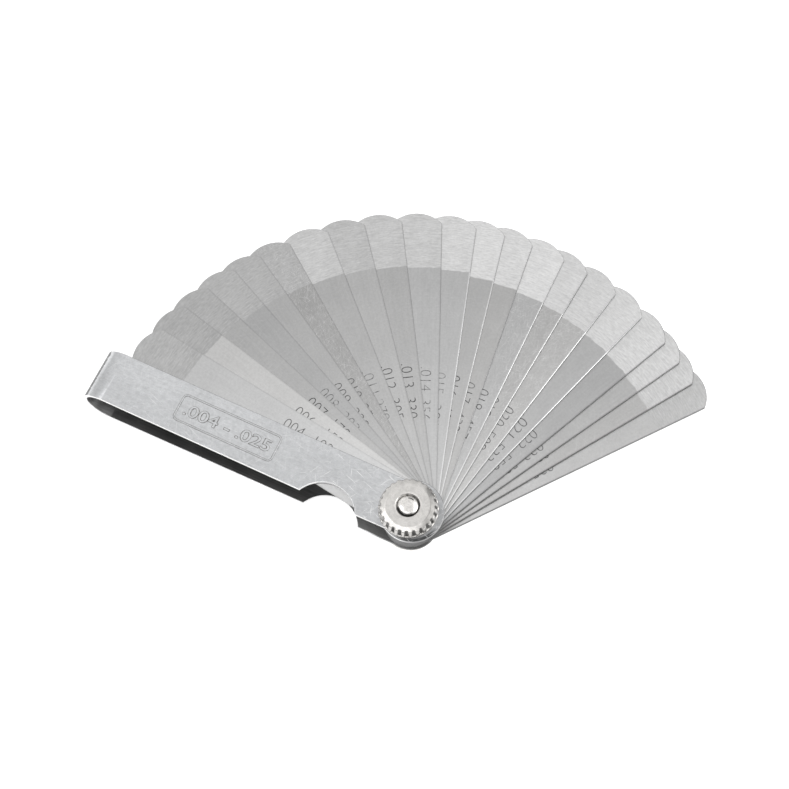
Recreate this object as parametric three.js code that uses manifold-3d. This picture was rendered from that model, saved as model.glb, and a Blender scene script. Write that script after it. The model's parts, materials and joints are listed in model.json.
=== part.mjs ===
// Folding feeler gauge: a fan of 21 steel blades on one stud, in a case bent from steel strip.
// Millimetres, +Z up. The gauge lies flat: the stud's axis is Z and the flat underside of the
// stud's head is at the origin. The case runs from the stud towards -X, and the blades are fanned
// out on the +Y side, the thinnest on top.
import * as THREE from "three";
import { mergeVertices } from "three/addons/utils/BufferGeometryUtils.js";
import Module from "manifold-3d";

const wasm = await Module();
wasm.setup();

// Blades
const INCH = 25.4;
const BLADE_THOUSANDTHS = [4, 6, 7, 8, 9, 10, 11, 12, 13, 14, 15, 16, 17, 18, 19, 20, 21, 22, 23, 24, 25];
const BLADE_WIDTH = INCH / 2;
const BLADE_REACH = 79.2; // stud axis to the crown of the tip
const TIP_ARC_R = 8.4; // the tip is a flat arc that meets the long edges at two corners
const BLADE_BORE_R = 2.56;
const BLADE_CURVE_SEGMENTS = 12;
const FIRST_BLADE_DEG = 172.2; // anticlockwise from +X; a blade folded into the case lies at 180
const FAN_STEPS_DEG = [
  6, 5.5, 6, 5.5, 6, 7.5, 7, 7, 7.5, 6.5, 5.5, 5.5, 6.5, 5, 6.5, 6.5, 6.5, 4.5, 4.5, 5,
];

// Case: one U-shaped strip, its two cheeks parallel at the stud and spreading towards the bend
const STRIP = 0.85; // sheet thickness
const CASE_WIDTH = 12.8;
const BEND_END_X = -85.2; // outermost point of the bend
const BEND_R = 6.35; // outside radius, half the case's height at the bend
const MID_Z = BEND_R;
const INNER_GAP = 9; // between the cheeks at the stud
const FLAT_TO_X = -12; // the cheeks start to spread here
const FRONT_LOBE_X = 0.9;
const FRONT_LOBE_R = 7.6;
const BACK_END_X = 0.2;
const BACK_END_R = 6.6;
const NOTCH_X = -18.2;
const NOTCH_Y = -9.9;
const NOTCH_R = 8.1;
const CASE_CURVE_SEGMENTS = 24;

// Stud and lock nut
const STUD_R = 2.5;
const CASE_BORE_R = 2.56;
const HEAD_R = 6.6;
const HEAD_BEVEL = 0.25;
const SEAT_GAP = 0.04; // between faces that lie on each other
const ROUND_SEGMENTS = 48;
const STUD_TOP_Z = 15;
const STUD_DOME = 0.7;
const NUT_TOP_Z = 14.9;
const NUT_FLAT_R = 5.3;
const NUT_SHOULDER_R = 6.65;
const NUT_R = 7.1;
const NUT_BORE_R = 2.56;
const NUT_MOUTH_R = 2.9; // the countersink round the stud's end
const NUT_MOUTH_DEPTH = 0.6;
const NUT_BEVEL = 0.4; // height of the bevel round the flat top
const NUT_SKIRT = 0.7; // height of the straight band at the bottom
const NUT_NOTCHES = 24;
const NUT_NOTCH_DEPTH = 0.5;
const NUT_TOOTH_SHARES = [-0.34, -0.17, 0, 0.17, 0.34]; // points on a tooth, as shares of the pitch
const NUT_NOTCH_SHARE = 0.5;

const BACK_OUT_Z = MID_Z - INNER_GAP / 2 - STRIP;
const FRONT_OUT_Z = MID_Z + INNER_GAP / 2 + STRIP;
const BEND_CENTRE_X = BEND_END_X + BEND_R;
const OVER = 5; // how far a cutting tool runs past the body it cuts

const steel = (color, roughness) => new THREE.MeshStandardMaterial({ color, roughness, metalness: 1 });
const caseSteel = steel(0xc9cbce, 0.35);
const bladeSteel = steel(0xb4b6b8, 0.3);
const nutNickel = steel(0xcfcac4, 0.28);
const studSteel = steel(0xd8d8d4, 0.2);

function solidFrom(geometry) {
  const bare = geometry.clone();
  bare.deleteAttribute("normal");
  bare.deleteAttribute("uv");
  const merged = mergeVertices(bare, 1e-4);
  const mesh = new wasm.Mesh({
    numProp: 3,
    vertProperties: new Float32Array(merged.attributes.position.array),
    triVerts: new Uint32Array(merged.index.array),
  });
  return new wasm.Manifold(mesh);
}

function geometryFrom(solid) {
  const { vertProperties, triVerts } = solid.getMesh();
  const geometry = new THREE.BufferGeometry();
  geometry.setAttribute("position", new THREE.BufferAttribute(vertProperties, 3));
  geometry.setIndex(new THREE.BufferAttribute(triVerts, 1));
  const faceted = geometry.toNonIndexed();
  faceted.computeVertexNormals();
  return faceted;
}

function named(name, geometry, material) {
  const mesh = new THREE.Mesh(geometry, material);
  mesh.name = name;
  return mesh;
}

// A plan outline in XY, extruded from z0 to z1.
function slab(shape, z0, z1, curveSegments) {
  const geometry = new THREE.ExtrudeGeometry(shape, { depth: z1 - z0, bevelEnabled: false, curveSegments });
  return geometry.translate(0, 0, z0);
}

function disc(x, y, r, segments, z0, z1) {
  const shape = new THREE.Shape().absarc(x, y, r, 0, 2 * Math.PI);
  return solidFrom(slab(shape, z0, z1, segments));
}

function rectangle(x0, x1, halfWidth, z0, z1) {
  const corners = [[x0, -halfWidth], [x1, -halfWidth], [x1, halfWidth], [x0, halfWidth]];
  const shape = new THREE.Shape(corners.map(([x, y]) => new THREE.Vector2(x, y)));
  return solidFrom(slab(shape, z0, z1, 1));
}

// The strip seen from the side, in XZ, wider than the case so that the plan outline trims it.
function bentStrip() {
  const endX = FRONT_LOBE_X + FRONT_LOBE_R + OVER;
  const backInZ = BACK_OUT_Z + STRIP;
  const side = new THREE.Shape();
  side.moveTo(endX, FRONT_OUT_Z);
  side.lineTo(FLAT_TO_X, FRONT_OUT_Z);
  side.absarc(BEND_CENTRE_X, MID_Z, BEND_R, Math.PI / 2, 1.5 * Math.PI, false);
  side.lineTo(FLAT_TO_X, BACK_OUT_Z);
  side.lineTo(endX, BACK_OUT_Z);
  side.lineTo(endX, backInZ);
  side.lineTo(FLAT_TO_X, backInZ);
  side.absarc(BEND_CENTRE_X, MID_Z, BEND_R - STRIP, 1.5 * Math.PI, Math.PI / 2, true);
  side.lineTo(FLAT_TO_X, FRONT_OUT_Z - STRIP);
  side.lineTo(endX, FRONT_OUT_Z - STRIP);
  const width = CASE_WIDTH + 2 * OVER;
  const geometry = slab(side, -width / 2, width / 2, CASE_CURVE_SEGMENTS);
  return solidFrom(geometry.rotateX(Math.PI / 2));
}

// What one cheek may fill, seen from above: the strip's width and the round end at the stud.
function cheekOutline(endX, endR, z0, z1) {
  const band = rectangle(BEND_END_X - OVER, endX, CASE_WIDTH / 2, z0, z1);
  return band.add(disc(endX, 0, endR, CASE_CURVE_SEGMENTS, z0, z1));
}

function caseGeometry() {
  const low = -OVER;
  const high = 2 * MID_Z + OVER;
  const outline = cheekOutline(FRONT_LOBE_X, FRONT_LOBE_R, MID_Z, high).add(
    cheekOutline(BACK_END_X, BACK_END_R, low, MID_Z),
  );
  const notch = disc(NOTCH_X, NOTCH_Y, NOTCH_R, CASE_CURVE_SEGMENTS, low, high);
  const bore = disc(0, 0, CASE_BORE_R, BLADE_CURVE_SEGMENTS, low, high);
  return geometryFrom(bentStrip().intersect(outline).subtract(notch).subtract(bore));
}

// A blade lying along +X, its bore on the origin.
function bladeOutline() {
  const half = BLADE_WIDTH / 2;
  const tipCentre = BLADE_REACH - TIP_ARC_R;
  const tipHalfAngle = Math.asin(half / TIP_ARC_R);
  const outline = new THREE.Shape();
  outline.absarc(tipCentre, 0, TIP_ARC_R, -tipHalfAngle, tipHalfAngle, false);
  outline.absarc(0, 0, half, Math.PI / 2, 1.5 * Math.PI, false);
  outline.holes.push(new THREE.Path().absarc(0, 0, BLADE_BORE_R, 0, 2 * Math.PI, true));
  return outline;
}

function bladeMeshes() {
  const thicknesses = BLADE_THOUSANDTHS.map((t) => (t * INCH) / 1000);
  const stack = thicknesses.reduce((sum, t) => sum + t, 0);
  const gap = (INNER_GAP - stack) / (thicknesses.length + 1);
  const meshes = [];
  let topZ = MID_Z + INNER_GAP / 2 - gap;
  let angle = FIRST_BLADE_DEG;
  thicknesses.forEach((thickness, i) => {
    const name = "blade_" + String(BLADE_THOUSANDTHS[i]).padStart(3, "0");
    const blade = named(name, slab(bladeOutline(), 0, thickness, BLADE_CURVE_SEGMENTS), bladeSteel);
    blade.position.z = topZ - thickness;
    blade.rotation.z = THREE.MathUtils.degToRad(angle);
    meshes.push(blade);
    topZ -= thickness + gap;
    angle -= FAN_STEPS_DEG[i] ?? 0;
  });
  return meshes;
}

function lathe(profile, segments) {
  const points = profile.map(([r, z]) => new THREE.Vector2(r, z));
  return new THREE.LatheGeometry(points, segments).rotateX(Math.PI / 2);
}

function studGeometry() {
  const headTop = BACK_OUT_Z - SEAT_GAP;
  const profile = [
    [0, 0],
    [HEAD_R - HEAD_BEVEL, 0],
    [HEAD_R, HEAD_BEVEL],
    [HEAD_R, headTop],
    [STUD_R, headTop],
    [STUD_R, STUD_TOP_Z - STUD_DOME],
  ];
  const domeSteps = 5;
  for (let i = 1; i <= domeSteps; i++) {
    const turn = ((i / domeSteps) * Math.PI) / 2;
    profile.push([i < domeSteps ? STUD_R * Math.cos(turn) : 0, STUD_TOP_Z - STUD_DOME * (1 - Math.sin(turn))]);
  }
  return lathe(profile, ROUND_SEGMENTS);
}

// The nut's plan: a circle with evenly spaced finger notches.
function nutOutline() {
  const pitch = (2 * Math.PI) / NUT_NOTCHES;
  const polar = (r, turn) => new THREE.Vector2(r * Math.cos(turn), r * Math.sin(turn));
  const points = [];
  for (let i = 0; i < NUT_NOTCHES; i++) {
    NUT_TOOTH_SHARES.forEach((share) => points.push(polar(NUT_R, (i + share) * pitch)));
    points.push(polar(NUT_R - NUT_NOTCH_DEPTH, (i + NUT_NOTCH_SHARE) * pitch));
  }
  return new THREE.Shape(points);
}

function nutGeometry() {
  const low = FRONT_OUT_Z + SEAT_GAP;
  const bevelled = lathe(
    [
      [NUT_BORE_R, low],
      [NUT_R, low],
      [NUT_R, low + NUT_SKIRT],
      [NUT_SHOULDER_R, NUT_TOP_Z - NUT_BEVEL],
      [NUT_FLAT_R, NUT_TOP_Z],
      [NUT_MOUTH_R, NUT_TOP_Z],
      [NUT_BORE_R, NUT_TOP_Z - NUT_MOUTH_DEPTH],
      [NUT_BORE_R, low],
    ],
    ROUND_SEGMENTS,
  );
  const grip = solidFrom(slab(nutOutline(), low - OVER, NUT_TOP_Z + OVER, 1));
  return geometryFrom(solidFrom(bevelled).intersect(grip));
}

const gauge = new THREE.Group();
gauge.add(named("case", caseGeometry(), caseSteel));
gauge.add(...bladeMeshes());
gauge.add(named("pivot_stud", studGeometry(), studSteel));
gauge.add(named("lock_nut", nutGeometry(), nutNickel));

export default gauge;
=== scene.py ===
"""Feeler gauge: the looks of every piece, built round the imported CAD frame. Lengths are in metres."""

import json
import math
import random

import bmesh
import bpy
from mathutils import Matrix, Vector


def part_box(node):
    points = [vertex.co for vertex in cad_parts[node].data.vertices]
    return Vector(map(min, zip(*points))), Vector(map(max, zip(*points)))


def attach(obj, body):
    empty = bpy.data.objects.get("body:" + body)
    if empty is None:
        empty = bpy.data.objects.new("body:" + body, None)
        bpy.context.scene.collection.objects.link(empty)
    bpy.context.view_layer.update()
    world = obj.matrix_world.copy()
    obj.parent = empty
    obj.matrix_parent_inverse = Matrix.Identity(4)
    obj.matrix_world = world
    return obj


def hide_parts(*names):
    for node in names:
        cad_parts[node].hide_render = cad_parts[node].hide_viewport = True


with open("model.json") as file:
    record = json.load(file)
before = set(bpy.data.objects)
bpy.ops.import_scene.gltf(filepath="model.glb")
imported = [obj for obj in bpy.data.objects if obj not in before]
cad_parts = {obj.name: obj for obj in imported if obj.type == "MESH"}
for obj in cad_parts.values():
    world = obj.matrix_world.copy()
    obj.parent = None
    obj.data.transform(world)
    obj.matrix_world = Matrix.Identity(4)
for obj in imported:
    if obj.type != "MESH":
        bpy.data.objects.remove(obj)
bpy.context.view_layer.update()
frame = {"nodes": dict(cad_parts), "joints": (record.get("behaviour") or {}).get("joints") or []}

MM = 0.001

# Blades. A blade is called by its thickness in thousandths of an inch.
BRIGHT_EDGED = (15, 16, 18, 19, 20, 21)  # the blades whose long edges get a painted highlight
DARK_EDGED_FROM = 19  # from this blade up the long edges get darker painted shade; the sides of thinner blades barely show
WELL_INKED = (7, 12, 13, 16)
FAINTLY_INKED = (8, 11, 14, 15)
SCUFFED = (10, 18, 19, 20)  # the blades with the most scratches
THICK_FROM = 16
TONES = {  # how bright a blade's steel is in its inner part and in its ground end zone
    4: (0.52, 0.45), 6: (0.53, 0.42), 7: (0.415, 0.43), 8: (0.40, 0.46), 9: (0.42, 0.46), 10: (0.365, 0.45),
    11: (0.43, 0.59), 12: (0.45, 0.53), 13: (0.43, 0.575), 14: (0.46, 0.60), 15: (0.46, 0.67),
    16: (0.43, 0.71), 17: (0.43, 0.69), 18: (0.43, 0.71), 19: (0.42, 0.64), 20: (0.44, 0.62),
    21: (0.42, 0.64), 22: (0.385, 0.62), 23: (0.41, 0.58), 24: (0.41, 0.53), 25: (0.44, 0.44),
}

# A blade in its own frame: the stud's axis at the origin, the blade along +X
BLADE_HALF_WIDTH = 6.35 * MM
BLADE_REACH = 79.2 * MM  # from the stud's axis to the tip
TIP_ARC_R = 8.4 * MM
BLADE_BORE_R = 2.56 * MM
BLADE_ROUNDING = 0.2  # of the blade's thickness
STEP_X = 64.1 * MM  # the ground end zone starts here
THICK_STEP_X = 63.5 * MM  # and here on the blades from THICK_FROM up
EDGE_LINE = (5.97 * MM, 6.15 * MM)  # a painted line of highlight or shade along a long edge begins and is full this far from the middle
TONE_SLOPE = (14 * MM, 60 * MM)  # the steel is brightest at the first and has its own tone at the second
MARK_HEIGHT = 2.6 * MM
MARK_WIDTH = 6.2 * MM
INCH_MARK_X = 34.6 * MM
METRIC_MARK_X = 26.6 * MM
MARK_Y = -2.9 * MM
MARK_THICKNESS = 0.008 * MM
MARK_THINNING = -0.05 * MM
MM_PER_INCH = 25.4

# Case
LOBE_X, LOBE_R = 0.9 * MM, 7.6 * MM  # the round end of the cheek under the nut
CUT_EDGE = 0.09 * MM  # rounding of the strip's cut edges
FACET_MERGE = 0.002 * MM
FACET_ANGLE = math.radians(0.5)  # CAD facets that meet at less than this become one face
CORNER_ANGLE = math.radians(35)  # faces that meet at more than this meet in a cut edge
CHEEK_NORMAL_Z = 0.999  # a cheek's faces are at least this level, although the cheeks spread a little
FLAT_TO_X = -12 * MM  # from here to the bend, the front cheek slopes up
NUT_GAP = 0.04 * MM  # between the front cheek and the nut
BAND_X = -83.1 * MM  # the dark band at the bend runs from a ragged edge near here
BAND_WIDTH = 1.5 * MM  # this far towards the bend
STAMP_CENTRE = Vector((-48 * MM, 0.1 * MM))
STAMP_SIZE = (26.6 * MM, 7.0 * MM)
STAMP_CORNER_R = 1.2 * MM
STAMP_LINE = 0.3 * MM
STAMP_HEIGHT = 0.09 * MM
STAMP_SUNK = -0.01 * MM  # the stamp starts this far under the cheek's surface
STAMP_FOOT = 0.1 * MM  # how far the dirt reaches out from the stamp's lines
STAMP_FOOT_HEIGHT = 0.012 * MM
STAMP_FOOT_ROUNDING = 0.004 * MM
STAMP_TEXT = ".004 - .025"
STAMP_TEXT_SIZE = (23.0 * MM, 3.0 * MM)

# Stud and nut
STUD_R = 2.5 * MM
STUD_DOME = 0.7 * MM
STUD_ROUNDING = 0.22 * MM
DOME_POWER = 0.8  # under 1, so that the dome is fuller than an ellipse
HEAD_R = 6.6 * MM
HEAD_TOP = 0.96 * MM  # above the lowest point of the case
NUT_R = 7.1 * MM
NUT_SHOULDER_R = 6.65 * MM
NUT_FLAT_R = 5.3 * MM
NUT_BORE_R = 2.56 * MM
NUT_MOUTH_R = 2.9 * MM
NUT_CHAMFER = 0.3 * MM  # at the bore's lower end
NUT_NOTCHES = 24
NUT_NOTCH_DEPTH = 0.5 * MM
NUT_NOTCH_HALF_SHARE = 0.4  # half a notch's width, as a share of the way from notch to notch
NUT_SHADE_FROM = 0.4  # the share of a notch's depth below which it gets painted shade
NUT_SKIRT = 0.7 * MM
NUT_ROUNDING = 0.12 * MM
NUT_ROW_SPACING = 0.3 * MM
SHARP_ANGLE = 40  # degrees: turned faces that meet at more than this keep a sharp edge between them

# The camera of the photograph
CAMERA_TARGET = Vector((-15.44, 24.45, 12.21)) * MM
CAMERA_AZIMUTH = math.radians(32.82)
CAMERA_ELEVATION = math.radians(68.05)
CAMERA_ROLL = math.radians(7.55)
CAMERA_DISTANCE = 434.4 * MM
CAMERA_LENS = 82.9  # millimetres, on a sensor of this width:
CAMERA_SENSOR = 36

# Floor and lamps
FLOOR_Z = -0.03 * MM
FLOOR_SIZE = 3
FLOOR_GLOW = 0.72
BACKDROP_GLOW = 0.32
LAMP_AIM = (-0.015, 0.025, 0.01)
SIDE_LAMP_DISTANCE = 0.85

NOISE_REACH = (0.3, 0.7)  # nearly all of a noise lies in here


# ---------------------------------------------------------------- materials


class Shader:
    """A material's node tree, built up by calls."""

    def __init__(self, name):
        self.material = bpy.data.materials.new(name)
        self.material.use_nodes = True
        self.tree = self.material.node_tree
        self.surface = self.tree.nodes["Principled BSDF"]

    def node(self, kind, inputs=(), **settings):
        made = self.tree.nodes.new(kind)
        for key, value in settings.items():
            setattr(made, key, value)
        for key, value in dict(inputs).items():
            self.feed(made.inputs[key], value)
        return made

    def feed(self, socket, value):
        if isinstance(value, bpy.types.NodeSocket):
            self.tree.links.new(value, socket)
        else:
            socket.default_value = value

    def math(self, operation, a, b=0.0, c=0.0):
        return self.node("ShaderNodeMath", {0: a, 1: b, 2: c}, operation=operation).outputs[0]

    def product(self, first, *others):
        for other in others:
            first = self.math("MULTIPLY", first, other)
        return first

    def total(self, first, *others):
        for other in others:
            first = self.math("ADD", first, other)
        return first

    def rest_of(self, share):
        """What is left of 1 after this share."""
        return self.math("SUBTRACT", 1.0, share)

    def coordinates(self, turn=0.0):
        """The piece's own coordinates, turned back about Z."""
        own = self.node("ShaderNodeTexCoord").outputs["Object"]
        return self.node("ShaderNodeMapping", {"Vector": own, "Rotation": (0, 0, -turn)}).outputs[0]

    def axes(self, coords):
        parts = self.node("ShaderNodeSeparateXYZ", {"Vector": coords}).outputs
        return parts["X"], parts["Y"], parts["Z"]

    def radius(self, coords):
        """Distance from the stud's axis."""
        x, y, _ = self.axes(coords)
        return self.math("SQRT", self.math("MULTIPLY_ADD", y, y, self.math("MULTIPLY", x, x)))

    def along(self, turn):
        """The direction at this turn about Z in the piece's own frame, for the shader's tangent."""
        inputs = {"Vector": (math.cos(turn), math.sin(turn), 0)}
        kinds = {"convert_from": "OBJECT", "convert_to": "WORLD"}
        return self.node("ShaderNodeVectorTransform", inputs, **kinds).outputs[0]

    def noise(self, vector, scale, detail=3.0, rough=0.55):
        """Noise in 0 to 1; scale is a number of features a metre along each axis."""
        mapped = self.node("ShaderNodeMapping", {"Vector": vector, "Scale": scale}).outputs[0]
        inputs = {"Vector": mapped, "Scale": 1.0, "Detail": detail, "Roughness": rough}
        return self.node("ShaderNodeTexNoise", inputs).outputs["Fac"]

    def remap(self, value, low, high, to_low, to_high, smooth=False):
        inputs = {"Value": value, "From Min": low, "From Max": high, "To Min": to_low, "To Max": to_high}
        kind = "SMOOTHSTEP" if smooth else "LINEAR"
        return self.node("ShaderNodeMapRange", inputs, interpolation_type=kind).outputs[0]

    def fade(self, value, start, end, low=0.0, high=1.0):
        """An eased change from one level to another while the value goes from start to end."""
        return self.remap(value, start, end, low, high, smooth=True)

    def vary(self, noise, low, high):
        """A level that follows a noise between two levels."""
        return self.remap(noise, *NOISE_REACH, low, high)

    def blend(self, share, a, b):
        made = self.node("ShaderNodeMix", data_type="RGBA")
        self.feed(made.inputs["Factor"], share)
        for socket, value in ((made.inputs[6], a), (made.inputs[7], b)):
            self.feed(socket, value)
        return made.outputs[2]

    def scaled(self, colour, factor):
        made = self.node("ShaderNodeVectorMath", operation="SCALE")
        self.feed(made.inputs[0], colour if isinstance(colour, bpy.types.NodeSocket) else colour[:3])
        self.feed(made.inputs["Scale"], factor)
        return made.outputs[0]

    def bump(self, height, strength, distance):
        inputs = {"Height": height, "Strength": strength, "Distance": distance}
        return self.node("ShaderNodeBump", inputs).outputs[0]

    def finish(self, metallic=1.0, **sockets):
        self.surface.inputs["Metallic"].default_value = metallic
        for name, value in sockets.items():
            self.feed(self.surface.inputs[name.replace("_", " ")], value)
        return self.material


def grey(value, warmth=0.0):
    """A linear grey: a little red and yellow for a warmth above 0, a little blue for one below it."""
    return (value * (1 + warmth), value, value * (1 - 1.4 * warmth), 1.0)


def scratches(shader, coords, along, turn, amount, crest=0.66):
    """Sparse thin scratches: the crests of a noise that is stretched along one direction."""
    turned = shader.node("ShaderNodeMapping", {"Vector": coords, "Rotation": (0, 0, turn)}).outputs[0]
    streaks = shader.noise(turned, (along, along * 22, along), detail=2.0, rough=0.5)
    return shader.fade(streaks, crest, crest + 0.06, 0.0, amount)


def blade_scratches(shader, coords, scuffed):
    wear = 0.34 if scuffed else 0.13
    marks = [scratches(shader, coords, 260, 0.5, wear)]
    marks += [scratches(shader, coords, 210, turn, wear) for turn in (-0.9, 1.5)]
    if scuffed:
        marks += [scratches(shader, coords, 430, turn, 0.32, crest=0.6) for turn in (0.25, 1.05, -0.4)]
    return shader.total(*marks)


def edge_line(shader, y, end_zone, thousandths):
    """The factor for the painted line along a blade's long edges: a painted highlight on some blades and
    painted shade on the rest, never bright in the end zone.
    """
    margin = shader.fade(shader.math("ABSOLUTE", y), *EDGE_LINE)
    dark = 0.77 if thousandths >= DARK_EDGED_FROM else 0.89
    inner = 1.36 if thousandths in BRIGHT_EDGED else dark
    line = shader.remap(end_zone, 0.0, 1.0, inner, dark)
    return shader.total(1.0, shader.product(margin, shader.math("SUBTRACT", line, 1.0)))


def blade_steel(thousandths, step_x, turn):
    """Tempered strip, satin along its length, with an end zone ground across."""
    rng = random.Random(thousandths)
    shader = Shader(f"blade_steel_{thousandths:03d}")
    coords = shader.coordinates(turn)
    x, y, _ = shader.axes(coords)
    along = shader.noise(coords, (130, 3800, 400), detail=4.0)
    across = shader.noise(coords, (3400, 520, 400), detail=4.0, rough=0.65)
    clouds = shader.noise(coords, (90, 160, 90), detail=2.0)
    wander = shader.noise(coords, (300, 700, 300), detail=2.0)
    speck = shader.noise(coords, (2200, 1700, 900), detail=2.0, rough=0.6)

    wandering_x = shader.math("MULTIPLY_ADD", wander, 0.5 * MM, x)
    end_zone = shader.fade(wandering_x, step_x + 0.15 * MM, step_x + 0.45 * MM)
    inner_value, end_value = TONES[thousandths]
    inner_tone = shader.product(shader.remap(x, *TONE_SLOPE, 1.19, 1.0), shader.vary(along, 0.965, 1.035))
    inner = shader.scaled(grey(inner_value, rng.choice((0.0, 0.003, 0.006))), inner_tone)
    end = shader.scaled(grey(end_value, 0.002), shader.vary(across, 0.85, 1.14))
    # the edge line is painted highlight or painted shade along the long edges
    fine_tone = shader.product(edge_line(shader, y, end_zone, thousandths), shader.vary(speck, 0.95, 1.05))
    tone = shader.product(shader.vary(clouds, 0.965, 1.035), fine_tone)
    colour = shader.scaled(shader.blend(end_zone, inner, end), tone)
    marks = blade_scratches(shader, coords, thousandths in SCUFFED)

    height = shader.node("ShaderNodeMix", {"Factor": end_zone, "A": along, "B": across}).outputs[0]
    return shader.finish(
        Base_Color=shader.blend(marks, colour, grey(0.72)),
        Roughness=shader.remap(shader.total(along, end_zone), 0.3, 1.7, 0.36, 0.30),
        Anisotropic=0.35,
        Normal=shader.bump(height, 0.16, 0.02 * MM),
        Tangent=shader.along(turn),
    )


def nut_shade_on_end(shader, coords):
    """The factor for painted shade from the nut: darker at the case's round end, with a painted shadow
    along its lower rim.
    """
    x, y, _ = shader.axes(coords)
    to_lobe = {0: coords, 1: (LOBE_X, 0, 0)}
    centred = shader.node("ShaderNodeVectorMath", to_lobe, operation="SUBTRACT").outputs[0]
    # painted shadow under the nut along the lower rim
    rim = shader.product(
        shader.fade(shader.radius(centred), LOBE_R - 1.1 * MM, LOBE_R - 0.6 * MM, 0.0, 0.8),
        shader.fade(y, -1 * MM, -3.5 * MM),
        shader.fade(x, -1.5 * MM, 2.5 * MM),
    )
    return shader.product(shader.fade(x, 0.5 * MM, 5.5 * MM, 1.0, 0.7), shader.rest_of(rim))


def bend_shade_band(shader, coords):
    """The factor for a narrow dark band of painted shade where the strip starts to bend away, ragged along
    its inner edge.
    """
    x, _, _ = shader.axes(coords)
    ragged = shader.noise(coords, (900, 1600, 900))
    ragged_x = shader.math("MULTIPLY_ADD", ragged, 0.9 * MM, x)
    begins = shader.fade(ragged_x, BAND_X + 0.25 * MM, BAND_X, 0.0, 0.85)
    ends = shader.fade(x, BAND_X - BAND_WIDTH, BAND_X - BAND_WIDTH + 0.2 * MM)
    return shader.rest_of(shader.product(begins, ends))


def case_steel():
    """Bright rolled strip, mottled and finely scratched, with painted shade at its end by the nut, towards
    its lower side and in a band at the bend.
    """
    shader = Shader("case_steel")
    coords = shader.coordinates()
    _, y, _ = shader.axes(coords)
    grain = shader.noise(coords, (260, 3600, 500), detail=4.0, rough=0.6)
    clouds = shader.noise(coords, (55, 110, 60), detail=4.0)
    mottle = shader.noise(coords, (800, 1100, 800), detail=4.0, rough=0.65)
    speck = shader.noise(coords, (2600, 2600, 2600), detail=2.0)
    tone = shader.vary(clouds, 0.95, 1.05)
    for part, swing in ((grain, 0.06), (mottle, 0.12), (speck, 0.04)):
        tone = shader.product(tone, shader.vary(part, 1 - swing, 1 + swing))
    # painted shade: a little darker towards the strip's lower side
    shaded_lower_side = shader.remap(y, -5 * MM, 5 * MM, 0.945, 1.0)
    tone = shader.product(tone, nut_shade_on_end(shader, coords), bend_shade_band(shader, coords), shaded_lower_side)
    marks = shader.total(
        scratches(shader, coords, 150, 0.35, 0.4),
        *(scratches(shader, coords, 210, turn, 0.32) for turn in (-0.5, 1.2, 2.1)),
    )
    handled = shader.fade(shader.radius(coords), 12 * MM, 34 * MM, 2.2, 0.9)
    marks = shader.math("MINIMUM", shader.product(marks, handled), 0.8)
    height = shader.math("SUBTRACT", shader.total(grain, mottle), marks)
    return shader.finish(
        Base_Color=shader.blend(marks, shader.scaled(grey(0.575, -0.012), tone), grey(0.85)),
        Roughness=shader.vary(mottle, 0.36, 0.26),
        Normal=shader.bump(height, 0.16, 0.03 * MM),
    )


def cut_steel():
    """The strip's cut edge, burnished bright, with painted shade on its far side, at its end by the nut,
    and along the lower half of its edges by the stud.
    """
    shader = Shader("cut_steel")
    coords = shader.coordinates()
    x, y, z = shader.axes(coords)
    grain = shader.noise(coords, (900, 900, 5000))
    # painted shade on the far side and at the end by the nut
    far_side = shader.fade(y, 4.5 * MM, 6 * MM, 1.0, 0.4)
    far_end = shader.fade(x, 0.5 * MM, 5 * MM, 1.0, 0.36)
    tone = shader.product(shader.vary(grain, 0.9, 1.06), far_side, far_end)
    # painted shade: by the stud the edges are dark below the front cheek's middle
    shaded_below_crest = shader.fade(z, 11.25 * MM, 11.4 * MM, 0.76, 0.0)
    by_stud = shader.fade(x, -9 * MM, -5 * MM)
    tone = shader.product(tone, shader.rest_of(shader.product(shaded_below_crest, by_stud)))
    return shader.finish(
        Base_Color=shader.scaled(grey(0.86), tone),
        Roughness=shader.vary(grain, 0.34, 0.24),
        Normal=shader.bump(grain, 0.12, 0.02 * MM),
    )


def edge_steel(name, value, base_rough, worn=False):
    """A blade's long edge, with a fine grain. The brightest of these is a painted highlight and the darkest
    a painted shade; a worn one has its painted highlight only along its middle.
    """
    shader = Shader(name)
    coords = shader.coordinates()
    grain = shader.noise(coords, (700, 700, 6000))
    tone = shader.vary(grain, 0.9, 1.08)
    # worn: the painted highlight fades towards the stud and the tip
    if worn:
        radius = shader.radius(coords)
        by_stud = shader.fade(radius, 22 * MM, 46 * MM, 0.42, 1.0)
        by_tip = shader.fade(radius, STEP_X - MM, STEP_X + MM, 1.0, 0.5)
        tone = shader.product(tone, shader.product(by_stud, by_tip))
    return shader.finish(
        Base_Color=shader.scaled(grey(value), tone),
        Roughness=shader.vary(grain, base_rough + 0.05, base_rough - 0.05),
        Normal=shader.bump(grain, 0.1, 0.01 * MM),
    )


def grime_and_shade(name, value, lit_side=False):
    """Old dirt and oxide packed where nothing rubs it off, as at the stamp's feet. In the nut's notches the
    same dark colour is painted shade, lighter on one side as painted light.
    """
    shader = Shader(name)
    coords = shader.coordinates()
    clots = shader.noise(coords, (1800, 1800, 1800), detail=4.0)
    tone = shader.vary(clots, 0.4, 1.7)
    # painted light: the nut's notches lighter on one side
    if lit_side:
        x, y, _ = shader.axes(coords)
        across = shader.math("MULTIPLY_ADD", y, -0.45, x)
        tone = shader.product(tone, shader.fade(across, -4.5 * MM, 2 * MM, 4.5, 1.0))
    return shader.finish(
        metallic=0.6,
        Base_Color=shader.scaled(grey(value, 0.02), tone),
        Roughness=shader.vary(clots, 0.7, 0.45),
        Normal=shader.bump(clots, 0.3, 0.03 * MM),
    )


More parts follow.
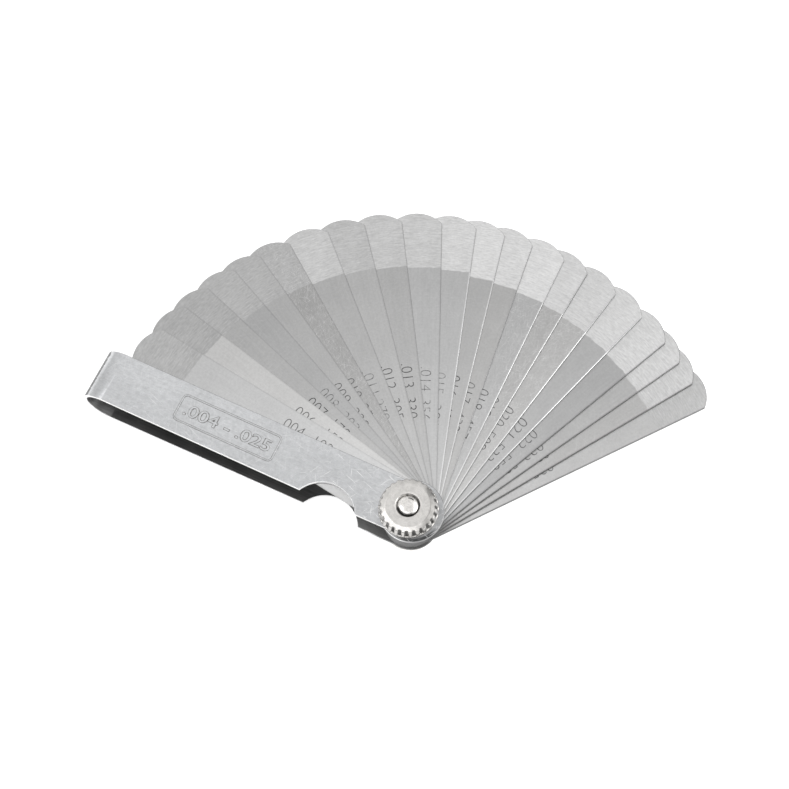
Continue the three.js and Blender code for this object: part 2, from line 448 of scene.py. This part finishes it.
def shaded_inner_steel():
    """The inside of the case: dull and dark as painted shade, lighter towards the bend and the stud as
    painted light, with rubbed streaks where the blades slide.
    """
    shader = Shader("shaded_inner_steel")
    coords = shader.coordinates()
    x, _, _ = shader.axes(coords)
    rubs = shader.noise(coords, (70, 1600, 300))
    clouds = shader.noise(coords, (120, 200, 120))
    # painted light towards the bend and the stud
    by_bend = shader.fade(x, -84 * MM, -78 * MM, 2.4, 1.0)
    by_stud = shader.fade(x, -24 * MM, -9 * MM, 1.0, 2.0)
    streaks = shader.remap(rubs, 0.3, 0.75, 0.75, 1.35)
    tone = shader.product(streaks, shader.vary(clouds, 0.8, 1.2), by_bend, by_stud)
    return shader.finish(
        Base_Color=shader.scaled(grey(0.17), tone),
        Roughness=shader.vary(rubs, 0.42, 0.28),
        Normal=shader.bump(rubs, 0.1, 0.02 * MM),
    )


def shaded_bevel_side(shader, coords):
    """The factor for painted shade on one side of the nut's bevel."""
    x, y, _ = shader.axes(coords)
    reach = shader.math("MULTIPLY_ADD", y, 0.34, shader.product(x, 0.94))
    side = shader.fade(reach, 2.8 * MM, 4.8 * MM, 0.0, 0.62)
    bevel = shader.fade(shader.radius(coords), NUT_FLAT_R - 0.3 * MM, NUT_FLAT_R + 0.1 * MM)
    return shader.rest_of(shader.product(side, bevel))


def stud_end_crescents(shader, coords):
    """The factor that darkens two crescents round the stud's end."""
    x, y, z = shader.axes(coords)
    aside = shader.math("ABSOLUTE", x)
    radius = shader.radius(coords)
    lower = shader.product(
        shader.fade(radius, 1.7 * MM, 2.2 * MM, 0.0, 0.86),
        shader.fade(y, -1.0 * MM, -1.6 * MM),
    )
    upper = shader.product(
        shader.fade(radius, 1.55 * MM, 1.7 * MM, 0.0, 0.85),
        shader.fade(radius, 1.85 * MM, 2.0 * MM, 1.0, 0.0),
        shader.fade(y, 1.2 * MM, 1.5 * MM),
        shader.fade(aside, 0.5 * MM, 0.9 * MM, 1.0, 0.0),
    )
    on_top = shader.remap(z, 11 * MM, 12 * MM, 0.0, 1.0)
    return shader.rest_of(shader.product(on_top, shader.total(lower, upper)))


def turned_nickel(name, value, base_rough, ring_strength, wear=None):
    """Plated metal with the rings that turning on a lathe leaves, and, where given, a factor of its own
    place: painted shade on one side of the nut's bevel, darker crescents round the stud's end.
    """
    shader = Shader(name)
    coords = shader.coordinates()
    _, _, z = shader.axes(coords)
    turned = shader.node("ShaderNodeCombineXYZ", {"X": shader.radius(coords), "Z": z}).outputs[0]
    rings = shader.noise(turned, (5200, 1, 2600), rough=0.7)
    clouds = shader.noise(coords, (900, 900, 900), detail=5.0, rough=0.8)
    tone = shader.product(shader.vary(rings, 0.93, 1.05), shader.remap(clouds, 0.4, 0.6, 0.86, 1.08))
    if wear:
        tone = shader.product(tone, wear(shader, coords))
    marks = scratches(shader, coords, 320, 0.7, 0.25)
    return shader.finish(
        Base_Color=shader.blend(marks, shader.scaled(grey(value, 0.025), tone), grey(0.9)),
        Roughness=shader.vary(clouds, base_rough + 0.04, base_rough - 0.04),
        Normal=shader.bump(rings, ring_strength, 0.02 * MM),
    )


def mark_ink(name, value):
    """The etched numbers: grey, worn thin in places."""
    shader = Shader(name)
    coords = shader.coordinates()
    wear = shader.noise(coords, (1500, 1500, 1500))
    return shader.finish(
        metallic=0.35,
        Base_Color=shader.scaled(grey(value), shader.remap(wear, 0.35, 0.75, 0.6, 2.4)),
        Roughness=shader.vary(wear, 0.65, 0.5),
        Normal=shader.bump(wear, 0.1, 0.01 * MM),
    )


# ---------------------------------------------------------------- mesh helpers


def object_from(name, bm, *materials):
    bmesh.ops.recalc_face_normals(bm, faces=bm.faces)
    mesh = bpy.data.meshes.new(name)
    bm.to_mesh(mesh)
    bm.free()
    for material in materials:
        mesh.materials.append(material)
    made = bpy.data.objects.new(name, mesh)
    bpy.context.scene.collection.objects.link(made)
    return made


def arc(x, y, r, start, end, steps):
    """Points on an arc, both ends included."""
    turns = [start + (end - start) * i / steps for i in range(steps + 1)]
    return [Vector((x + r * math.cos(t), y + r * math.sin(t))) for t in turns]


def inset(loop, distance):
    """The loop moved to the left of its own way round."""
    moved = []
    for i, point in enumerate(loop):
        before = (point - loop[i - 1]).normalized()
        after = (loop[(i + 1) % len(loop)] - point).normalized()
        left_before = Vector((-before.y, before.x))
        left_after = Vector((-after.y, after.x))
        reach = distance / (1 + left_before.dot(left_after))
        moved.append(point + (left_before + left_after) * reach)
    return moved


def plate(name, loops, low, high, rounding, *materials):
    """A flat plate with rounded edges. The outer loop runs anticlockwise and the holes clockwise.

    Where there are three materials, the second goes on the flatter half of each rounding, and the third
    on its steeper half and on the sides.
    """
    last = len(materials) - 1
    steps = 4
    turns = [math.pi / 2 * i / steps for i in range(steps + 1)]
    levels = [(low + rounding * (1 - math.sin(t)), rounding * (1 - math.cos(t))) for t in reversed(turns)]
    levels += [(high - rounding * (1 - math.sin(t)), rounding * (1 - math.cos(t))) for t in turns]
    bm = bmesh.new()
    caps = ([], [])
    for loop in loops:
        rows = []
        for z, distance in levels:
            rows.append([bm.verts.new((p.x, p.y, z)) for p in inset(loop, distance)])
        for k, (lower, upper) in enumerate(zip(rows, rows[1:])):
            for i in range(len(loop)):
                j = (i + 1) % len(loop)
                face = bm.faces.new((lower[i], lower[j], upper[j], upper[i]))
                face.smooth = True
                face.material_index = min(2 if abs(k - steps) <= steps // 2 else 1, last)
        for cap, row in zip(caps, (rows[0], rows[-1])):
            cap.extend(bm.edges.get((row[i - 1], row[i])) for i in range(len(row)))
    for edges in caps:
        bmesh.ops.triangle_fill(bm, use_beauty=True, use_dissolve=False, edges=edges)
        for edge in edges:
            edge.smooth = False
    return object_from(name, bm, *materials)


def revolve(name, profile, columns, *materials, notch=None, closed=False):
    """A body turned about Z. A profile row is (radius, z, material, share of the notch that cuts it).

    The last material goes where a notch is deep.
    """
    bm = bmesh.new()
    turns = [2 * math.pi * i / columns for i in range(columns)]
    depths = [notch(t) if notch else 0 for t in turns]
    shade_depth = NUT_NOTCH_DEPTH * NUT_SHADE_FROM
    rows = []
    for r, z, _, share in profile:
        if r == 0:
            rows.append([bm.verts.new((0, 0, z))])
            continue
        reaches = [r - share * depth for depth in depths]
        rows.append([bm.verts.new((q * math.cos(t), q * math.sin(t), z)) for q, t in zip(reaches, turns)])
    if closed:
        rows.append(rows[0])
    for k, (lower, upper) in enumerate(zip(rows, rows[1:])):
        for i in range(columns):
            j = (i + 1) % columns
            corners = [lower[i % len(lower)], lower[j % len(lower)]]
            corners += [upper[j % len(upper)], upper[i % len(upper)]]
            face = bm.faces.new(list(dict.fromkeys(corners)))
            face.smooth = True
            # the deep part of a notch gets the painted shade
            shaded = profile[k][3] * (depths[i] + depths[j]) / 2 > shade_depth
            face.material_index = len(materials) - 1 if shaded else profile[k][2]
    return object_from(name, bm, *materials)


def sharpen(piece):
    piece.data.set_sharp_from_angle(angle=math.radians(SHARP_ANGLE))


def between(a, b, t):
    """A profile row a share t of the way from a to b, in a's material."""
    return (a[0] + (b[0] - a[0]) * t, a[1] + (b[1] - a[1]) * t, a[2], a[3] + (b[3] - a[3]) * t)


def rounded(profile, radius, steps=3):
    """The profile with each corner cut to a small round."""
    made = [profile[0]]
    for before, corner, after in zip(profile, profile[1:], profile[2:]):
        back = (Vector(before[:2]) - Vector(corner[:2])).length
        on = (Vector(after[:2]) - Vector(corner[:2])).length
        reach = min(radius, back * 0.45, on * 0.45)
        start, end = between(corner, before, reach / back), between(corner, after, reach / on)
        for i in range(steps + 1):
            t = i / steps
            row = between(between(start, corner, t), between(corner, end, t), t)
            made.append((row[0], row[1], corner[2] if i == steps else before[2], row[3]))
    made.append(profile[-1])
    return made


def dense(profile, spacing):
    """The closed profile with rows no further apart than the spacing."""
    made = []
    for start, end in zip(profile, profile[1:] + profile[:1]):
        gap = (Vector(end[:2]) - Vector(start[:2])).length
        parts = max(1, round(gap / spacing))
        made += [between(start, end, i / parts) for i in range(parts)]
    return made


def text_mesh(body, width, height, thickness, thinner=0.0, rounding=0.0):
    """Lettering as a filled mesh of this width and height, centred on the origin."""
    curve = bpy.data.curves.new("lettering", "FONT")
    curve.body = body
    curve.size = height
    curve.offset = thinner
    curve.extrude = thickness / 2
    curve.bevel_depth = rounding
    curve.bevel_resolution = 2
    holder = bpy.data.objects.new("lettering", curve)
    bpy.context.scene.collection.objects.link(holder)
    shown = holder.evaluated_get(bpy.context.evaluated_depsgraph_get())
    mesh = bpy.data.meshes.new_from_object(shown)
    bpy.data.objects.remove(holder)
    low = Vector([min(v.co[k] for v in mesh.vertices) for k in range(3)])
    high = Vector([max(v.co[k] for v in mesh.vertices) for k in range(3)])
    size = high - low
    fit = Matrix.Diagonal((width / size.x, height / size.y, 1, 1))
    mesh.transform(fit @ Matrix.Translation(-(low + high) / 2))
    return mesh


def stands_for(piece, node, body):
    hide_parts(node)
    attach(piece, body)


# ---------------------------------------------------------------- pieces


def blade_loops():
    """A blade's outline and its bore."""
    half_angle = math.asin(BLADE_HALF_WIDTH / TIP_ARC_R)
    outer = arc(BLADE_REACH - TIP_ARC_R, 0, TIP_ARC_R, -half_angle, half_angle, 40)
    outer += arc(0, 0, BLADE_HALF_WIDTH, math.pi / 2, 1.5 * math.pi, 48)
    bore = arc(0, 0, BLADE_BORE_R, 2 * math.pi, 0, 48)[:-1]
    return [outer, bore]


def marks_on(name, thousandths, place, ink):
    """The blade's size in inches and in millimetres, read from the tip towards the stud."""
    rng = random.Random(100 + thousandths)
    bm = bmesh.new()
    metric = round(thousandths * MM_PER_INCH)
    y = MARK_Y + rng.uniform(-0.45, 0.35) * MM
    for label, x in ((f".{thousandths:03d}", INCH_MARK_X), (f".{metric:03d}", METRIC_MARK_X)):
        mesh = text_mesh(label, MARK_WIDTH, MARK_HEIGHT, MARK_THICKNESS, thinner=MARK_THINNING)
        spot = Matrix.Translation((x + rng.uniform(-0.4, 0.4) * MM, y, MARK_THICKNESS / 2))
        mesh.transform(place @ spot @ Matrix.Rotation(math.pi, 4, "Z"))
        bm.from_mesh(mesh)
        bpy.data.meshes.remove(mesh)
    piece = object_from(name, bm, ink)
    return piece


def build_blades():
    # edge colours: the bright edge is a painted highlight and the dark side a painted shade
    bright_edge = edge_steel("edge_painted_highlight", 0.92, 0.24, worn=True)
    soft_edge = edge_steel("soft_side", 0.33, 0.4)
    dark_edge = edge_steel("side_painted_shade", 0.16, 0.42)
    dark_ink = mark_ink("dark_ink", 0.06)
    plain_ink = mark_ink("mark_ink", 0.1)
    faint_ink = mark_ink("faint_ink", 0.18)
    for joint in frame["joints"]:
        node = joint["child"]
        if not node.startswith("blade_"):
            continue
        thousandths = int(node[-3:])
        low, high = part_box(node)
        rest_turn = math.pi + math.radians(joint["range_deg"][0])
        step_x = THICK_STEP_X if thousandths >= THICK_FROM else STEP_X
        rounding = BLADE_ROUNDING * (high.z - low.z)
        steel = blade_steel(thousandths, step_x, rest_turn)
        side = dark_edge if thousandths >= DARK_EDGED_FROM else soft_edge
        corner = bright_edge if thousandths in BRIGHT_EDGED else side
        blade = plate(node + "_plate", blade_loops(), low.z, high.z, rounding, steel, corner, side)
        turned = Matrix.Rotation(rest_turn, 4, "Z")
        blade.data.transform(turned)
        stands_for(blade, node, node)
        place = turned @ Matrix.Translation((0, 0, high.z))
        ink = plain_ink
        if thousandths in WELL_INKED:
            ink = dark_ink
        elif thousandths in FAINTLY_INKED:
            ink = faint_ink
        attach(marks_on(node + "_marks", thousandths, place, ink), node)


def face_kind(face, low, high):
    """0 for the outside of the strip, 1 for its cut edges, 2 for its inside."""
    bend = Vector((low.x + (high.z - low.z) / 2, 0, (low.z + high.z) / 2))
    centre = face.calc_center_median()
    outwards = centre - bend
    outwards.y = 0
    if centre.x > bend.x:
        outwards.x = 0
    facing = face.normal.dot(outwards.normalized())
    if abs(facing) < 0.5:
        return 1
    return 0 if facing > 0 else 2


def keep_cheeks_flat(bm):
    """A sharp edge wherever a flat cheek meets a cut edge, so that its shading stays flat."""
    for edge in bm.edges:
        flat = [abs(face.normal.z) > CHEEK_NORMAL_Z for face in edge.link_faces]
        uncut = all(face.material_index != 1 for face in edge.link_faces)
        edge.smooth = all(flat) or not any(flat) or uncut


def build_case(outside, cut, inside):
    """The CAD strip with its facets joined and its cut edges rounded."""
    low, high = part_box("case")
    bm = bmesh.new()
    bm.from_mesh(frame["nodes"]["case"].data)
    bmesh.ops.remove_doubles(bm, verts=bm.verts, dist=FACET_MERGE)
    bmesh.ops.dissolve_limit(bm, angle_limit=FACET_ANGLE, verts=bm.verts, edges=bm.edges)
    bmesh.ops.recalc_face_normals(bm, faces=bm.faces)
    for face in bm.faces:
        face.material_index = face_kind(face, low, high)
        face.smooth = True
    corners = [e for e in bm.edges if e.is_manifold and e.calc_face_angle(0) > CORNER_ANGLE]
    bmesh.ops.bevel(
        bm, geom=corners, offset=CUT_EDGE, segments=3, profile=0.5, affect="EDGES",
        clamp_overlap=True, material=1,
    )
    bmesh.ops.recalc_face_normals(bm, faces=bm.faces)
    bm.normal_update()
    keep_cheeks_flat(bm)
    piece = object_from("case_strip", bm, outside, cut, inside)
    stands_for(piece, "case", "case")


def stamp_frame():
    """The plane of the front cheek, which slopes up a little towards the bend."""
    low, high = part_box("case")
    bend_x = low.x + high.z / 2
    flat_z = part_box("lock_nut")[0].z - NUT_GAP
    slope = math.atan2(high.z - flat_z, FLAT_TO_X - bend_x)
    rise = (FLAT_TO_X - STAMP_CENTRE.x) * math.tan(slope)
    spot = Matrix.Translation((STAMP_CENTRE.x, STAMP_CENTRE.y, flat_z + rise))
    return spot @ Matrix.Rotation(slope, 4, "Y")


def rounded_rectangle(width, height, r, clockwise=False):
    x, y = width / 2 - r, height / 2 - r
    loop = []
    for i, (cx, cy) in enumerate(((x, y), (-x, y), (-x, -y), (x, -y))):
        loop += arc(cx, cy, r, i * math.pi / 2, (i + 1) * math.pi / 2, 8)
    return loop[::-1] if clockwise else loop


def stamp_border(name, spread, low, high, rounding, metal):
    """The panel's border; spread makes its line that much wider on each side."""
    width, height = (side + 2 * spread for side in STAMP_SIZE)
    line = STAMP_LINE + 2 * spread
    corner = STAMP_CORNER_R + spread
    outer = rounded_rectangle(width, height, corner)
    hole = rounded_rectangle(width - 2 * line, height - 2 * line, corner - line, clockwise=True)
    return plate(name, [outer, hole], low, high, rounding, metal)


def stamp_numbers(name, spread, low, high, rounding, metal):
    """The set's range in figures; spread makes their strokes that much wider on each side."""
    depth = high - low - 2 * rounding
    width, height = (side + 2 * spread for side in STAMP_TEXT_SIZE)
    mesh = text_mesh(STAMP_TEXT, width, height, depth, thinner=spread - rounding, rounding=rounding)
    mesh.transform(Matrix.Translation((0, 0, (low + high) / 2)))
    mesh.materials.clear()
    mesh.materials.append(metal)
    piece = bpy.data.objects.new(name, mesh)
    bpy.context.scene.collection.objects.link(piece)
    return piece


def build_stamp(metal, dirt):
    """A plain stamped panel on the front cheek: a raised border and figures, with dirt at their feet."""
    foot = (STAMP_FOOT, STAMP_SUNK, STAMP_FOOT_HEIGHT, STAMP_FOOT_ROUNDING, dirt)
    pieces = [
        stamp_border("case_stamp_border", 0, STAMP_SUNK, STAMP_HEIGHT, 0.04 * MM, metal),
        stamp_border("case_stamp_border_foot", *foot),
        stamp_numbers("case_stamp_numbers", 0, STAMP_SUNK, STAMP_HEIGHT, 0.035 * MM, metal),
        stamp_numbers("case_stamp_numbers_foot", *foot),
    ]
    for piece in pieces:
        piece.data.transform(stamp_frame())
        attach(piece, "case")


def build_stud(metal):
    low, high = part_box("pivot_stud")
    head_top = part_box("case")[0].z + HEAD_TOP
    rim_z = high.z - STUD_DOME
    profile = [
        (0, low.z, 0, 0),
        (HEAD_R, low.z, 0, 0),
        (HEAD_R, head_top, 0, 0),
        (STUD_R, head_top, 0, 0),
        (STUD_R, rim_z - 0.1 * MM, 0, 0),
        (STUD_R, rim_z, 0, 0),
    ]
    profile = rounded(profile, STUD_ROUNDING)
    steps = 14
    for i in range(1, steps + 1):
        t = math.pi / 2 * i / steps
        radius = STUD_R * math.cos(t) if i < steps else 0
        profile.append((radius, rim_z + STUD_DOME * math.sin(t) ** DOME_POWER, 0, 0))
    piece = revolve("pivot_stud_body", profile, 96, metal)
    sharpen(piece)
    stands_for(piece, "pivot_stud", "case")


def finger_notch(turn):
    """How far the grip is cut in at this turn. Wear has left no two notches quite alike."""
    place = turn * NUT_NOTCHES / (2 * math.pi)
    rng = random.Random(900 + int(place))
    depth = NUT_NOTCH_DEPTH * rng.uniform(0.7, 1.0)
    half_share = NUT_NOTCH_HALF_SHARE * rng.uniform(0.8, 1.15)
    aside = abs(place % 1 - 0.5 - rng.uniform(-0.04, 0.04)) / half_share
    return 0 if aside >= 1 else depth * (0.5 + 0.5 * math.cos(math.pi * aside))


def build_nut(face_metal, grip_metal, dirt):
    low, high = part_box("lock_nut")
    skirt = low.z + NUT_SKIRT
    corners = [
        (NUT_BORE_R + NUT_CHAMFER, low.z, 0, 0),
        (NUT_R, low.z, 1, 0),
        (NUT_R, skirt, 1, 0),
        (NUT_R - 0.05 * MM, skirt + 0.08 * MM, 1, 1),
        (NUT_SHOULDER_R, high.z - 0.4 * MM, 0, 1),
        (NUT_SHOULDER_R - 0.45 * MM, high.z - 0.27 * MM, 0, 0),
        (NUT_FLAT_R, high.z, 0, 0),
        (NUT_MOUTH_R, high.z, 2, 0),
        (NUT_BORE_R, high.z - 0.6 * MM, 2, 0),
        (NUT_BORE_R, low.z + NUT_CHAMFER, 2, 0),
        (NUT_BORE_R + NUT_CHAMFER, low.z, 0, 0),
    ]
    profile = dense(rounded(corners, NUT_ROUNDING)[:-1], NUT_ROW_SPACING)
    # dirt here is the painted shade in the deep notches
    metals = (face_metal, grip_metal, dirt)
    piece = revolve("lock_nut_body", profile, NUT_NOTCHES * 16, *metals, notch=finger_notch, closed=True)
    sharpen(piece)
    stands_for(piece, "lock_nut", "lock_nut")


# ---------------------------------------------------------------- stage


def build_camera():
    a, e = CAMERA_AZIMUTH, CAMERA_ELEVATION
    back = Vector((math.sin(a) * math.cos(e), -math.cos(a) * math.cos(e), math.sin(e)))
    right = Vector((math.cos(a), math.sin(a), 0))
    up = back.cross(right)
    turn = Matrix((right, up, back)).transposed() @ Matrix.Rotation(-CAMERA_ROLL, 3, "Z")
    data = bpy.data.cameras.new("camera")
    data.lens = CAMERA_LENS
    data.sensor_width = CAMERA_SENSOR
    camera = bpy.data.objects.new("camera", data)
    camera.matrix_world = Matrix.Translation(CAMERA_TARGET + back * CAMERA_DISTANCE) @ turn.to_4x4()
    bpy.context.scene.collection.objects.link(camera)
    bpy.context.scene.camera = camera


def softbox(name, position, target, width, height, power):
    """A rectangular lamp that faces the target, with its power in watts."""
    data = bpy.data.lights.new(name, "AREA")
    data.shape = "RECTANGLE"
    data.size, data.size_y = width, height
    data.energy = power
    light = bpy.data.objects.new(name, data)
    aim = (Vector(target) - Vector(position)).to_track_quat("-Z", "Y")
    light.matrix_world = Matrix.Translation(position) @ aim.to_matrix().to_4x4()
    bpy.context.scene.collection.objects.link(light)


def build_floor():
    """A light table, which glows a little."""
    bm = bmesh.new()
    bmesh.ops.create_grid(bm, x_segments=1, y_segments=1, size=FLOOR_SIZE)
    shader = Shader("light_table")
    fibres = shader.noise(shader.coordinates(), (900, 900, 900))
    colour = shader.scaled(grey(0.6), shader.vary(fibres, 0.99, 1.01))
    glow = {"Emission_Color": grey(1.0), "Emission_Strength": FLOOR_GLOW}
    floor = object_from("floor", bm, shader.finish(metallic=0.0, Base_Color=colour, Roughness=0.9, **glow))
    floor.location.z = FLOOR_Z


def build_backdrop():
    world = bpy.data.worlds.new("studio")
    world.use_nodes = True
    backdrop = world.node_tree.nodes["Background"]
    backdrop.inputs["Color"].default_value = (1, 1, 1, 1)
    backdrop.inputs["Strength"].default_value = BACKDROP_GLOW
    bpy.context.scene.world = world
    bpy.context.scene.view_settings.view_transform = "Standard"


def build_lamps():
    """A wide lamp overhead, two keys, and smaller lamps in front, on the left and on the right."""
    softbox("overhead", (-0.1, 0.3, 1.0), (-0.1, 0.3, 0), 2.2, 2.6, 11)
    softbox("key_left", (-0.45, -0.12, 0.88), LAMP_AIM, 0.35, 0.35, 0.7)
    softbox("key_front", (0.0, -0.3, 0.95), LAMP_AIM, 0.45, 0.25, 0.62)
    softbox("front", (-0.25, -0.85, 0.3), LAMP_AIM, 0.5, 0.3, 0.5)
    softbox("left", (-0.83, 0.28, 0.34), LAMP_AIM, 0.9, 0.62, 1.0)
    for azimuth, elevation in ((17, 12), (22, 35), (42, 58)):
        turn, rise = math.radians(azimuth), math.radians(elevation)
        level = Vector((math.cos(turn), math.sin(turn), 0))
        direction = level * math.cos(rise) + Vector((0, 0, math.sin(rise)))
        softbox(f"right_{elevation}", direction * SIDE_LAMP_DISTANCE, LAMP_AIM, 0.58, 0.34, 1.3)


build_camera()
build_floor()
build_backdrop()
build_lamps()
build_blades()
bright = case_steel()
build_case(bright, cut_steel(), shaded_inner_steel())
build_stamp(bright, grime_and_shade("stamp_grime", 0.2))
build_stud(turned_nickel("polished_end", 0.8, 0.2, 0.02, wear=stud_end_crescents))
satin_nickel = turned_nickel("satin_nickel", 0.64, 0.3, 0.1, wear=shaded_bevel_side)
bright_nickel = turned_nickel("bright_nickel", 0.5, 0.26, 0.05)
build_nut(satin_nickel, bright_nickel, grime_and_shade("notch_painted_shade", 0.11, lit_side=True))
